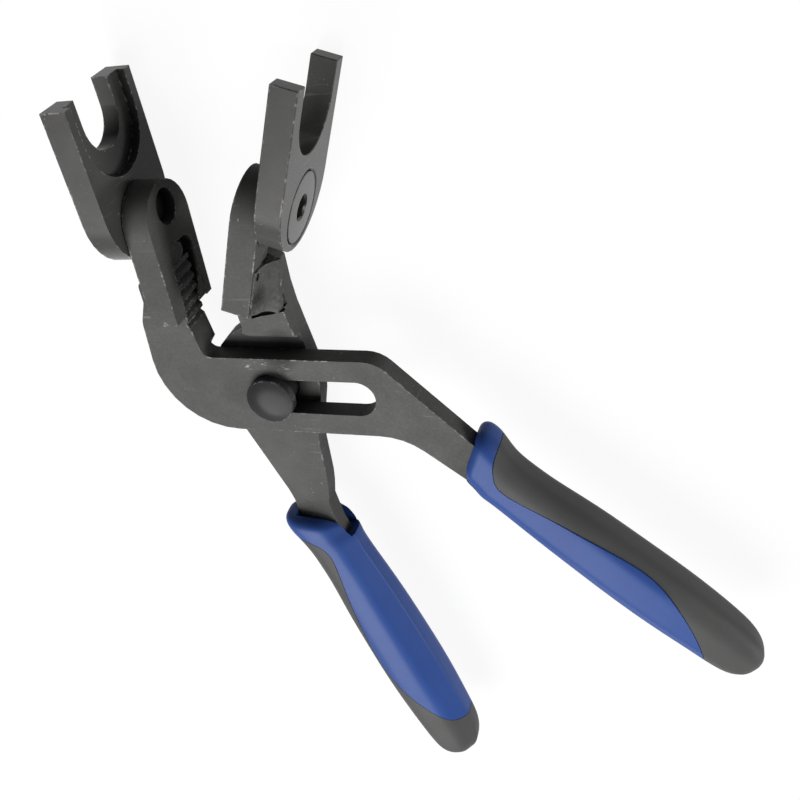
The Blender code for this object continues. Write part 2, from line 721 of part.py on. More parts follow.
def grip(name, handle, parent, core_surface, cover_surface):
    """A moulded core on the tang, and its softer cover, with the same outer form."""
    reach = BELLY_DEPTH + CUT_MARGIN
    low, high = handle.height - reach, handle.height + reach
    cover = add(name + "_cover", grip_form(name + "_cover", handle), parent, cover_surface)
    region = plate(name + "_cover_region", [cover_region(handle)], low, high)
    boolean(cover, add(name + "_cover_region", region, parent), "INTERSECT")
    under = grip_form(name + "_under_cover", handle, COVER_THICKNESS)
    boolean(cover, add(name + "_under_cover", under, parent))

    core = add(name + "_core", grip_form(name + "_core", handle), parent, core_surface)
    region = plate(name + "_cover_room", [cover_region(handle, SEAT_GAP)], low, high)
    room = add(name + "_cover_room", region, parent)
    seat = grip_form(name + "_cover_seat", handle, COVER_THICKNESS + SEAT_GAP)
    boolean(room, add(name + "_cover_seat", seat, parent))
    boolean(core, room)
    boolean(core, tang_room(name + "_tang_room", handle, parent))
    boolean(core, collar_mouth(name + "_mouth", handle, parent))


def tang_room(name, handle, parent):
    """Cutter for the tang's hole, a seating gap larger than the tang."""
    half = SHANK_HALF + SEAT_GAP
    mouth = [tuple(handle.place(-CUT_MARGIN, side)) for side in (-half, half)]
    shape = outline(*mouth, *tang(handle, SEAT_GAP))
    deep = (LEVER_THICKNESS - LEVER_FACE) / 2 + SEAT_GAP
    return add(name, plate(name, [shape], handle.tang_height - deep, handle.tang_height + deep), parent)


def collar_mouth(name, handle, parent):
    """Cutter for the open mouth of the collar round the shank."""
    half = SHANK_HALF + MOUTH_MARGIN
    shape = [handle.place(-CUT_MARGIN, half), handle.place(MOUTH_LENGTH, half)]
    shape += [handle.place(MOUTH_LENGTH, -half), handle.place(-CUT_MARGIN, -half)]
    low, high = handle.mouth_height - MOUTH_DEPTH, handle.mouth_height + MOUTH_DEPTH
    return add(name, plate(name, [shape], low, high), parent)


def stand_on_floor(root):
    """Moves the whole object so that its origin is the middle of its box, at the bottom."""
    bpy.context.view_layer.update()
    graph = bpy.context.evaluated_depsgraph_get()
    corners = []
    for item in collection("slip_joint_pliers").objects:
        if item.type == "MESH":
            solid = item.evaluated_get(graph)
            corners += [solid.matrix_world @ vertex.co for vertex in solid.data.vertices]
    low = [min(point[axis] for point in corners) for axis in range(3)]
    high = [max(point[axis] for point in corners) for axis in range(3)]
    root.location = (-(low[0] + high[0]) / 2, -(low[1] + high[1]) / 2, -low[2])


def main():
    clear_scene()
    forged = finish("forged_steel", (0.10, 0.10, 0.10), 0.45, 0.9)
    machined = finish("machined_steel", (0.16, 0.16, 0.15), 0.40, 0.9)
    bright = finish("bright_steel", (0.45, 0.45, 0.44), 0.30, 1.0)
    blue = finish("blue_plastic", (0.06, 0.11, 0.33), 0.40, 0.0)
    black = finish("black_rubber", (0.045, 0.047, 0.045), 0.65, 0.0)

    root = empty("pliers")
    slotted_lever(root, forged)
    grip("slotted_grip", SLOTTED_HANDLE, root, blue, black)
    pivot = empty("pivot_axis", root)
    pivot_lever(pivot, forged)
    pivot_bolt(pivot, bright)
    pivot_fasteners(pivot, bright)
    grip("pivot_grip", PIVOT_HANDLE, pivot, blue, black)

    left = empty("left_screw_axis", root, LEFT_JAW.frame)
    right = empty("right_screw_axis", pivot, RIGHT_JAW.frame)
    left_sizes = (LEFT_FORK_TURN, LEFT_FORK_HEEL, LEFT_FORK_REACH, LEFT_MOUTH_HALF, LEFT_MOUTH_ROOT)
    left_fork = fork("fork_left", *left_sizes, left, machined)
    fork_recess(left_fork, LEFT_RECESS_HALF, LEFT_RECESS_DEPTH, LEFT_RECESS_ROOT, LEFT_FORK_REACH)
    right_sizes = (RIGHT_FORK_TURN, RIGHT_FORK_HEEL, RIGHT_FORK_REACH, RIGHT_MOUTH_HALF, RIGHT_MOUTH_ROOT)
    fork("fork_right", *right_sizes, right, machined)
    for side, jaw, axis, slack in (("left", LEFT_JAW, left, -1), ("right", RIGHT_JAW, right, 1)):
        jaw_block("jaw_block_" + side, jaw, axis, machined)
        fork_screw("fork_screw_" + side, axis, machined)
        weld("jaw_weld_" + side, jaw, slack, axis, forged)
    stand_on_floor(root)


if __name__ == "__main__":
    main()
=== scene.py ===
import json
import math

import bmesh
import bpy
from mathutils import Matrix, Vector


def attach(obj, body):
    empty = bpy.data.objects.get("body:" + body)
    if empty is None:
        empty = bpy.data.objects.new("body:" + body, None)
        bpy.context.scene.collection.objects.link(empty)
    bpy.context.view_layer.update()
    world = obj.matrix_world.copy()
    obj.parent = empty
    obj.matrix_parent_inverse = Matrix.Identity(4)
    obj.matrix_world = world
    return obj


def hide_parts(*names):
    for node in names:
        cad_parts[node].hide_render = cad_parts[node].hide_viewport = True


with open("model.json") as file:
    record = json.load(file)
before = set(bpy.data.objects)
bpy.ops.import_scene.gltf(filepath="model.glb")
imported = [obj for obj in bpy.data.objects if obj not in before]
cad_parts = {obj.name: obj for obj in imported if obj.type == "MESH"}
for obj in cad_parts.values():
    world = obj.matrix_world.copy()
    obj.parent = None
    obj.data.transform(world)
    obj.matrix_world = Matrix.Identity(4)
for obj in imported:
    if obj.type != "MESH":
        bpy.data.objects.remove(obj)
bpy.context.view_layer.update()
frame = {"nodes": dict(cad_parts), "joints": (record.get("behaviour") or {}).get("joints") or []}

MM = 0.001
JOINTS = {joint["name"]: joint for joint in frame["joints"]}
PIVOT = Vector(JOINTS["jaw_hinge"]["pos_m"])

# Levers, as in the solids, in mm
LEVER_THICKNESS = 8.2
SEAT_GAP = 0.3

# Handles, in mm and radians; lengths along the grip start at its collar. Each facet row raises or lowers the
# upper side of the grip's section: place across a section of half width 1, and share of its height. Where
# "whole" is set, the cover has the same facets as the core.
HANDLES = {
    "slotted": {
        "angle": math.radians(-40.9), "offset": 27.5, "start": 66.0, "outward": 1, "height": 4.175,
        "tang_height": 4.175, "mouth_height": 4.175, "mouth_depth": 4.8, "notch": 8.3,
        "size": 0.970, "length": 142.6, "tilt": math.radians(22.0), "lean": 3.2,
        "facet": (
            (0.339, 1.008), (0.474, 1.035), (0.6, 1.06), (0.714, 1.06), (0.813, 1.05), (0.893, 1.03),
        ),
        "whole": False,
    },
    "pivot": {
        "angle": math.radians(-70.2), "offset": -17.4, "start": 56.0, "outward": -1, "height": 0.8,
        "tang_height": -0.775, "mouth_height": -2.0, "mouth_depth": 5.7, "notch": 16.0,
        "size": 1.035, "length": 147.2, "tilt": math.radians(25.0), "lean": 3.0,
        "facet": (
            (-0.339, 0.941), (-0.474, 0.903), (-0.6, 0.868), (-0.714, 0.797), (-0.813, 0.753),
            (-0.893, 0.748), (-0.952, 0.808),
        ),
        "whole": True,
    },
}

# Grip sections in mm: distance from the front, half heights to the outer and inner side, half depth and lift
GRIP_SECTIONS = (
    (0.0, 9.3, 5.6, 4.9, -1.9), (0.4, 11.3, 7.4, 6.8, -1.9), (1.0, 12.3, 8.4, 7.8, -1.9),
    (2.0, 13.3, 9.3, 8.8, -1.9), (3.4, 14.0, 9.9, 9.5, -1.9), (5.2, 14.3, 10.2, 9.7, -1.9),
    (8.0, 14.0, 10.5, 9.7, -1.9), (10.0, 13.4, 10.8, 9.6, -1.8), (12.0, 12.7, 11.1, 9.5, -1.6),
    (15.0, 11.7, 11.4, 9.4, -1.2), (18.0, 11.1, 11.4, 9.2, -0.9),
    (22.0, 10.7, 11.2, 9.1, -0.8), (28.0, 10.6, 11.5, 9.2, -0.7), (34.0, 10.6, 11.9, 9.3, -0.7),
    (40.0, 10.9, 12.3, 9.6, -0.7), (50.0, 11.6, 12.8, 10.1, -0.7), (60.0, 12.1, 13.2, 10.5, -0.7),
    (76.0, 12.4, 13.7, 10.8, -0.4), (92.0, 12.7, 13.9, 11.0, -0.3), (106.0, 12.5, 13.6, 10.8, -0.3),
    (118.0, 12.0, 13.0, 10.3, -0.2), (126.0, 11.4, 12.7, 10.0, 0.0), (131.0, 10.9, 12.3, 9.6, 0.2),
    (135.0, 10.2, 11.6, 9.0, 0.7), (138.5, 9.1, 10.2, 8.0, 1.4), (141.2, 7.4, 8.3, 6.5, 1.9),
    (143.2, 5.2, 5.8, 4.7, 2.1), (144.3, 2.8, 3.1, 2.6, 2.2), (144.5, 1.2, 1.3, 1.1, 2.2),
)
STRAIGHT_END = 100.0
LEAST_HALF = 0.4
FACET_REACH = 0.025
COLLAR_END = 21.0
CORNER_ROUND = 0.80
CORNER_STEPS = 9
INNER_STEP = 0.53
INNER_DROP = 0.94
COVER_SKIN = 2.2
COVER_GAP = 0.25
# Far corners of the cover's plan, outside the grip
BOUND_END = 152.0
BOUND_SIDE = 18.8
BOUND_FRONT = 6.0
CUTTER_REACH = 20
COVER_EDGE = (
    (7.5, 16.8), (10.0, 9.0), (13.4, 4.2), (17.2, 1.2), (22.5, 0.5), (31.0, 1.8), (49.5, 5.2), (80.5, 8.6),
    (101.5, 4.3), (122.5, -7.0), (125.5, -16.8),
)
SHANK_HALF = 7.5
TANG_HALF = 4.6
TANG_LENGTH = 95.0
MOUTH_FRONT = -9.0
MOUTH_LENGTH = 16.6
MOUTH_HALF = 8.3
NOTCH_LENGTH = 15.8

# Pivot bolt with its washer and nut, in mm
BOLT_SHANK = 6.8
BOLT_HEAD = 9.1
BOLT_WALL = 3.5
BOLT_CROWN = 1.4
BOLT_EDGE = 0.45
WASHER_RADIUS = 11.5
WASHER_THICKNESS = 1.5
NUT_RADIUS = 10.97
NUT_FLAT = 9.5
NUT_HEIGHT = 6.0

# Fork screws in mm, along the screw axis from the seat between fork and block
FORK_THICKNESS = 9.0
SCREW_SHANK = 6.0
SCREW_HEAD = 12.2
SCREW_EDGE = 0.6
SCREW_TIP = 6.0
SOCKET_RADIUS = 4.62
SOCKET_DEPTH = 4.8
SOCKET_LEAD = 1.15

# Welds in mm: the screws' axes lie this far over the pivot's origin
AXIS_HEIGHT = 1.8
# Fillings of the near and far ends of the left block's slot: distance along the block and height
LEFT_FILL = (
    (-12.4, 10.8), (-12.4, 4.5), (-13.4, 1.0), (-15.2, -1.6), (-17.8, -2.2), (-19.6, -0.5),
    (-20.5, 2.5), (-21.5, 6.0), (-24.0, 7.4), (-28.0, 7.6), (-33.0, 7.4), (-38.6, 8.2), (-38.6, 10.8),
)
LEFT_FAR_FILL = (
    (-15.0, -10.5), (-15.0, -8.2), (-20.0, -8.0), (-25.0, -7.4), (-29.0, -6.7), (-32.0, -5.2), (-34.4, -3.4),
    (-38.6, -2.4), (-38.6, -10.5),
)
# Filling of the right block's slot above its fillet
RIGHT_FILL = ((-11.0, 10.5), (-11.0, 2.0), (-22.5, 2.0), (-22.5, 10.5))
# Fillet on the right block: distance along the block, top height, width and height of its foot
RIGHT_FILLET = (
    (-21.4, 15.2, 3.4, 2.5), (-24.0, 15.4, 4.0, 2.8), (-28.0, 15.4, 4.7, 3.4), (-32.0, 15.4, 5.4, 4.0),
    (-36.0, 15.2, 6.1, 4.5), (-39.0, 13.5, 6.5, 4.7), (-41.0, 9.0, 6.3, 4.6),
)
# Hollow face of the fillet, as shares of its width and height, and how far it is let in behind and below
FILLET_FACE = ((0.16, 0.68), (0.36, 0.40), (0.62, 0.17))
FILLET_ROOT = -1.0
FILLET_SUNK = 2.2
# Grain and height of the lumps on the fillings and the fillet
FILL_GRAIN = 4.0
FILLET_LUMPS = (6.0, 1.8)
WELD_VOXEL = 0.28
# Round pit in the fillet: its centre in the screw's frame, and its radius
WELD_PIT = (11.0, -23.8, -1.0)
PIT_RADIUS = 1.5
# Groove between the right jaw's weld and its pad, from end to end in plan
CREASE = ((-3.4, 31.0), (0.5, 32.2), (4.5, 32.9), (8.5, 34.0), (12.0, 34.6), (15.8, 35.7))
CREASE_HALF = 0.8
CREASE_FLOOR = 2.7
CREASE_TOP = 7.0
# Rounded low edge of that pad: its place along Y, its height and the rounding
PAD_LOW = 22.0
PAD_TOP = 4.4
PAD_ROUND = 2.6

# Texture scales per metre and shares of colour in the finishes of steel
CLOUD_SCALE = 70
GRAIN_SCALE = 1500
SPECK_SCALE = 1000
PATCH_SCALE = 45
SPOT_SCALE = 420
RUB_SCALE = 60
SCUFF_STRETCH, SCUFF_TURN = (60, 900, 60), (0, 0, 0.5)
DASH_STRETCH, DASH_TURN = (420, 1500, 420), (0, 0, 0.7)
RUB_WIDTH = 0.9
# Painted shade in hollows, found by ambient occlusion: its reach and how dark it gets
RECESS_REACH = 9
RECESS_PAINTED_SHADE = 0.45
# How dark the painted shade spots get
SPOT_PAINTED_SHADE = 0.2
GRAIN_SHADE = 0.62
SCUFF_SHADE = 2.1
GRAIN_DEPTH = 0.05
# The same for the moulded finishes
MOULD_CLOUDS = 35
MOULD_GRAIN = 1800
PEEL_DEPTH = 0.06

# Stage, with lengths in metres and light in watts
FLOOR_SIZE = 8
FLOOR_LIT = 0.16
FLOOR_SEEN = 0.10
FLOOR_GLOW = 0.92
WORLD_LIGHT, WORLD_GLOSS, WORLD_SEEN = 0.052, 0.16, 0.95
LIGHT_AIM = (-0.01, 0.0, 0.02)
LAMPS = (
    ("key_light", (-0.30, -0.52, 0.80), 2.2, 1.8, 55.0),
    ("fill_light", (0.90, -0.12, 0.25), 1.3, 0.5, 9.0),
)
LENS, SENSOR = 43.624, 36.0
LENS_SHIFT = (-0.00155, -0.00169)
CAMERA_PLACE = (0.146499, 0.186672, 0.278976)
CAMERA_TURN = (-35.0233, 14.9655, -7.4398)


def deselect():
    if bpy.context.object and bpy.context.object.mode != "OBJECT":
        bpy.ops.object.mode_set(mode="OBJECT")
    bpy.ops.object.select_all(action="DESELECT")


def hold(piece):
    """Makes a piece the only one selected."""
    deselect()
    piece.select_set(True)
    bpy.context.view_layer.objects.active = piece
    return piece


def shape(piece):
    """Opens a piece in edit mode with nothing selected."""
    hold(piece)
    bpy.ops.object.mode_set(mode="EDIT")
    bpy.ops.mesh.select_all(action="DESELECT")


def done():
    bpy.ops.object.mode_set(mode="OBJECT")
    return bpy.context.object


def choose(kind, test):
    """Selects vertices, edges or faces of the open piece where a test of the element holds."""
    bpy.ops.mesh.select_mode(type={"verts": "VERT", "edges": "EDGE", "faces": "FACE"}[kind])
    bpy.ops.mesh.select_all(action="DESELECT")
    open_mesh = bmesh.from_edit_mesh(bpy.context.object.data)
    for element in getattr(open_mesh, kind):
        if test(element):
            element.select_set(True)
    open_mesh.select_flush_mode()
    bmesh.update_edit_mesh(bpy.context.object.data)


def modify(piece, kind, **settings):
    """Adds a modifier with its settings and applies it."""
    hold(piece)
    step = piece.modifiers.new(kind.lower(), kind)
    for name, value in settings.items():
        setattr(step, name, value)
    bpy.ops.object.modifier_apply(modifier=step.name)
    return piece


def soften(piece, width, steps=3, angle=34):
    """Rounds the hard edges and keeps the flats flat in the shading."""
    modify(
        piece, "BEVEL", width=width, segments=steps, limit_method="ANGLE",
        angle_limit=math.radians(angle), miter_outer="MITER_ARC", use_clamp_overlap=True,
    )
    smooth(piece, 40)
    return piece


def smooth(piece, angle):
    hold(piece)
    bpy.ops.object.shade_smooth_by_angle(angle=math.radians(angle))
    modify(piece, "WEIGHTED_NORMAL", keep_sharp=True, weight=80)
    return piece


def cut(piece, tool, operation="DIFFERENCE"):
    modify(piece, "BOOLEAN", operation=operation, object=tool, solver="EXACT")
    return piece


def discard(*tools):
    for tool in tools:
        bpy.data.objects.remove(tool, do_unlink=True)


def copy_of(piece, name):
    made = bpy.data.objects.new(name, piece.data.copy())
    bpy.context.scene.collection.objects.link(made)
    return made


def pin(name, radius, low, high):
    """A plain round cutter along Z."""
    return turned(name, [(0, low), (radius, low), (radius, high), (0, high)])


def hexagon(name, radius, low, high):
    turns = [k * math.tau / 6 for k in range(6)]
    return slab(name, [(radius * math.cos(turn), radius * math.sin(turn)) for turn in turns], low, high)


def merged_copy(node, name):
    """A copy of a solid with its loose triangles merged into whole flats."""
    piece = copy_of(frame["nodes"][node], name)
    piece.data.materials.clear()
    shape(piece)
    bpy.ops.mesh.select_all(action="SELECT")
    bpy.ops.mesh.remove_doubles(threshold=2e-6)
    bpy.ops.mesh.dissolve_limited(angle_limit=math.radians(0.6))
    return done()


def settle(piece, matrix):
    """Moves a finished piece by a matrix, into its mesh."""
    hold(piece)
    piece.matrix_world = matrix
    bpy.ops.object.transform_apply(location=True, rotation=True, scale=True)
    return piece


def line(name, points):
    """An open line of edges, drawn by extruding one corner of a plane from point to point."""
    deselect()
    bpy.ops.mesh.primitive_plane_add(size=MM)
    piece = bpy.context.object
    piece.name = name
    shape(piece)
    corner = Vector((-MM / 2, -MM / 2, 0))
    choose("verts", lambda vertex: (vertex.co - corner).length > MM / 4)
    bpy.ops.mesh.delete(type="VERT")
    choose("verts", lambda vertex: True)
    bpy.ops.transform.translate(value=Vector(points[0]) - corner)
    for here, there in zip(points, points[1:]):
        bpy.ops.mesh.extrude_region_move(TRANSFORM_OT_translate={"value": Vector(there) - Vector(here)})
    return piece


def turned(name, profile, segments=72):
    """A lathe-turned piece round Z, from (radius, height) points in mm that start and end on the axis."""
    piece = line(name, [(radius * MM, 0, height * MM) for radius, height in profile])
    bpy.ops.mesh.select_all(action="SELECT")
    bpy.ops.mesh.spin(steps=segments, angle=math.tau, center=(0, 0, 0), axis=(0, 0, 1))
    bpy.ops.mesh.select_all(action="SELECT")
    bpy.ops.mesh.remove_doubles(threshold=2e-6)
    bpy.ops.mesh.normals_make_consistent(inside=False)
    return done()


def slab(name, points, low, high):
    """A plate between two heights with an outline of (x, y) points, in mm."""
    piece = line(name, [(x * MM, y * MM, low * MM) for x, y in points])
    bpy.ops.mesh.select_all(action="SELECT")
    bpy.ops.mesh.edge_face_add()
    bpy.ops.mesh.extrude_region_move(TRANSFORM_OT_translate={"value": (0, 0, (high - low) * MM)})
    bpy.ops.mesh.select_all(action="SELECT")
    bpy.ops.mesh.normals_make_consistent(inside=False)
    return done()


# Finishes


def finish(name, values):
    made = bpy.data.materials.new(name)
    made.use_nodes = True
    shader = made.node_tree.nodes["Principled BSDF"]
    for key, value in values.items():
        shader.inputs[key].default_value = value
    return made, made.node_tree, shader


def put(tree, kind, inputs=None, **settings):
    """A new node with its settings and its inputs, which are values or other nodes' outputs."""
    made = tree.nodes.new(kind)
    for key, value in settings.items():
        setattr(made, key, value)
    for key, value in (inputs or {}).items():
        if isinstance(value, bpy.types.NodeSocket):
            tree.links.new(value, made.inputs[key])
        else:
            made.inputs[key].default_value = value
    return made


def noise(tree, place, scale, detail=4.0, roughness=0.55):
    inputs = {"Vector": place, "Scale": scale, "Detail": detail, "Roughness": roughness}
    return put(tree, "ShaderNodeTexNoise", inputs).outputs["Fac"]


def stretched(tree, place, scale, turn):
    return put(tree, "ShaderNodeMapping", {"Vector": place, "Scale": scale, "Rotation": turn}).outputs[0]


def span(tree, value, low, high, first=0.0, last=1.0):
    """Maps a value from one span to another, held at both ends."""
    inputs = {"Value": value, "From Min": low, "From Max": high, "To Min": first, "To Max": last}
    return put(tree, "ShaderNodeMapRange", inputs).outputs["Result"]


def times(tree, first, second):
    return put(tree, "ShaderNodeMath", {0: first, 1: second}, operation="MULTIPLY").outputs[0]


def tint(tree, share, first, last):
    """Colour between two others; each is a colour or another node's output."""
    made = put(tree, "ShaderNodeMix", data_type="RGBA")
    for socket, value in (("A_Color", first), ("B_Color", last)):
        target = next(item for item in made.inputs if item.identifier == socket)
        if isinstance(value, bpy.types.NodeSocket):
            tree.links.new(value, target)
        else:
            target.default_value = (*value, 1)
    target = next(item for item in made.inputs if item.identifier == "Factor_Float")
    tree.links.new(share, target)
    return next(item for item in made.outputs if item.identifier == "Result_Color")


def edge_mask(tree, radius):
    """One on hard edges, and zero on flats."""
    soft = put(tree, "ShaderNodeBevel", {"Radius": radius}, samples=6).outputs["Normal"]
    true = put(tree, "ShaderNodeNewGeometry").outputs["Normal"]
    along = put(tree, "ShaderNodeVectorMath", {0: soft, 1: true}, operation="DOT_PRODUCT").outputs["Value"]
    return span(tree, along, 0.998, 0.955)


def spot(tree, place, centre, radius, core, share=1.0):
    """Fades from a share in the core of a round spot to nothing at its radius."""
    centre = [value * MM for value in centre]
    away = put(tree, "ShaderNodeVectorMath", {0: place, 1: centre}, operation="DISTANCE").outputs["Value"]
    return span(tree, away, radius * MM, core * radius * MM, 0.0, share)


def steel(name, dark, light, worn, *, metallic, specular, roughness, scuffed, marks=(), painted_shade=()):
    """Dark oxidised steel: clouds, grain, scuffs, specks, rubbed edges, spots of scratch-like dashes, and
    painted shade in given spots and in hollows.
    """
    made, tree, shader = finish(name, {"Metallic": metallic, "Specular IOR Level": specular})
    place = put(tree, "ShaderNodeTexCoord").outputs["Object"]
    clouds = span(tree, noise(tree, place, CLOUD_SCALE, 5), 0.32, 0.68)
    grain = noise(tree, place, GRAIN_SCALE, 3, 0.7)
    lengthwise = stretched(tree, place, SCUFF_STRETCH, SCUFF_TURN)
    scuffs = span(tree, noise(tree, lengthwise, 1.0, 2), 0.64, 0.74, 0.0, scuffed)
    specks = span(tree, noise(tree, place, SPECK_SCALE, 2, 0.5), 0.71, 0.77, 0.0, 0.8)
    patches = span(tree, noise(tree, place, PATCH_SCALE, 3), 0.46, 0.62)
    colour = tint(tree, clouds, dark, light)
    dots = span(tree, grain, 0.3, 0.7, 0.0, 0.35)
    colour = tint(tree, dots, colour, [value * GRAIN_SHADE for value in dark])
    colour = tint(tree, times(tree, scuffs, patches), colour, [value * SCUFF_SHADE for value in light])
    colour = tint(tree, times(tree, specks, patches), colour, worn)
    for centre, radius in marks:
        near = spot(tree, place, centre, radius, 0.3)
        dashes = stretched(tree, place, DASH_STRETCH, DASH_TURN)
        lines = span(tree, noise(tree, dashes, 1.0, 3, 0.6), 0.56, 0.66, 0.0, 0.9)
        colour = tint(tree, times(tree, near, lines), colour, worn)
    normal = put(tree, "ShaderNodeTexCoord").outputs["Normal"]
    # Painted shade: each spot darkens the colour towards a darker tone on the sides that face the given way
    for centre, radius, share, facing in painted_shade:
        near = spot(tree, place, centre, radius, 0.35, share)
        lean = put(tree, "ShaderNodeVectorMath", {0: normal, 1: facing}, operation="DOT_PRODUCT")
        shade_share = times(tree, near, span(tree, lean.outputs["Value"], 0.3, 0.7))
        colour = tint(tree, shade_share, colour, [value * SPOT_PAINTED_SHADE for value in dark])
    # Painted shade: hollows and corners that the ambient occlusion finds get a darker colour
    recess = {"Distance": RECESS_REACH * MM}
    hollow_shade = put(tree, "ShaderNodeAmbientOcclusion", recess, samples=6, only_local=False).outputs["AO"]
    colour = tint(tree, span(tree, hollow_shade, 0.30, 0.75), [value * RECESS_PAINTED_SHADE for value in dark], colour)
    spots = span(tree, noise(tree, place, SPOT_SCALE, 4, 0.7), 0.50, 0.62, 0.0, 0.95)
    runs = span(tree, noise(tree, place, RUB_SCALE, 2), 0.40, 0.52)
    rubbed = times(tree, edge_mask(tree, RUB_WIDTH * MM), times(tree, spots, runs))
    colour = tint(tree, rubbed, colour, worn)
    tree.links.new(colour, shader.inputs["Base Color"])
    tree.links.new(span(tree, grain, 0.3, 0.7, *roughness), shader.inputs["Roughness"])
    bump = put(tree, "ShaderNodeBump", {"Height": grain, "Strength": 0.25, "Distance": GRAIN_DEPTH * MM})
    tree.links.new(bump.outputs["Normal"], shader.inputs["Normal"])
    return made


def moulding(name, dark, light, *, roughness, peel, specular):
    """Moulded plastic or rubber: slight colour variation and a fine surface texture."""
    made, tree, shader = finish(name, {"Specular IOR Level": specular})
    place = put(tree, "ShaderNodeTexCoord").outputs["Object"]
    clouds = span(tree, noise(tree, place, MOULD_CLOUDS, 3), 0.3, 0.7)
    grain = noise(tree, place, MOULD_GRAIN, 2, 0.6)
    tree.links.new(tint(tree, clouds, dark, light), shader.inputs["Base Color"])
    tree.links.new(span(tree, grain, 0.3, 0.7, *roughness), shader.inputs["Roughness"])
    bump = put(tree, "ShaderNodeBump", {"Height": grain, "Strength": peel, "Distance": PEEL_DEPTH * MM})
    tree.links.new(bump.outputs["Normal"], shader.inputs["Normal"])
    return made


# Spots in mm: scratches over the pivot, and light dashes along the left block's seam, by centre and radius
SCRATCHED = (((-69.0, 53.4, 29.1), 3.0), ((-60.2, 50.8, 29.1), 3.2), ((-74.4, 52.4, 29.1), 2.4))
SEAM = (((-101.4, 73.2, 36.9), 1.5), ((-97.6, 73.1, 36.9), 1.6))
# Painted shade on the jaws, the hub and the walls of both screws' sockets: centre, radius, strength and
# facing
PAINTED_SHADE_SPOTS = (
    ((-93.5, 75.7, 22.8), 17.0, 0.75, (1, 0, 0)), ((-62.3, 82.5, 32.8), 5.5, 0.7, (0.6, -0.2, 0.77)),
    ((-61.0, 57.5, 25.2), 9.0, 0.85, (0, 0, 1)),
)
SOCKET_PAINTED_SHADE = [
    (centre, 11.0, 0.95, facing)
    for centre in ((-46.3, 111.2, 22.6), (-110.5, 111.4, 22.6))
    for facing in ((0, 1, 0), (0, -1, 0), (0, 0, 1), (0, 0, -1))
]
FORGED = steel(
    "forged_steel", (0.110, 0.109, 0.107), (0.140, 0.139, 0.136), (0.50, 0.48, 0.45),
    metallic=0.05, specular=0.05, roughness=(0.46, 0.64), scuffed=0.4, marks=SCRATCHED, painted_shade=PAINTED_SHADE_SPOTS,
)
BLOCKS = steel(
    "block_steel", (0.106, 0.105, 0.102), (0.132, 0.131, 0.128), (0.55, 0.53, 0.49),
    metallic=0.05, specular=0.05, roughness=(0.50, 0.66), scuffed=0.5, marks=SEAM,
)
MACHINED = steel(
    "machined_steel", (0.085, 0.084, 0.082), (0.106, 0.105, 0.102), (0.50, 0.48, 0.45),
    metallic=0.04, specular=0.08, roughness=(0.20, 0.30), scuffed=0.5,
)
SCREWS = steel(
    "screw_steel", (0.118, 0.118, 0.115), (0.140, 0.139, 0.136), (0.30, 0.29, 0.28),
    metallic=0.06, specular=0.10, roughness=(0.18, 0.28), scuffed=0.15, painted_shade=SOCKET_PAINTED_SHADE,
)
BRIGHT = steel(
    "bright_steel", (0.040, 0.040, 0.042), (0.052, 0.052, 0.055), (0.40, 0.39, 0.38),
    metallic=0.0, specular=0.10, roughness=(0.20, 0.28), scuffed=0.2,
)
BLUE = moulding(
    "blue_plastic", (0.024, 0.074, 0.300), (0.031, 0.085, 0.325),
    roughness=(0.44, 0.54), peel=0.05, specular=0.30,
)
BLACK = moulding(
    "black_rubber", (0.080, 0.081, 0.079), (0.094, 0.095, 0.093),
    roughness=(0.50, 0.62), peel=0.12, specular=0.22,
)


def place_on(piece, body, slot, material, *nodes):
    """Gives a piece its finish and body, and hides the solids that it stands for. The slot is not used."""
    piece.data.materials.clear()
    piece.data.materials.append(material)
    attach(piece, body)
    if nodes:
        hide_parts(*nodes)
    return piece


def curve_through(points, steps):
    """Points on a smooth curve through points, by Catmull-Rom spans."""
    points = [Vector(point) for point in points]
    ends = [points[0] * 2 - points[1], *points, points[-1] * 2 - points[-2]]
    drawn = []
    for before, here, there, after in zip(ends, ends[1:], ends[2:], ends[3:]):
        for k in range(steps):
            t = k / steps
            bend = here * 2 + (there - before) * t
            bend += (before * 2 - here * 5 + there * 4 - after) * t**2
            bend += (here * 3 - before - there * 3 + after) * t**3
            drawn.append(bend / 2)
    return [*drawn, points[-1]]


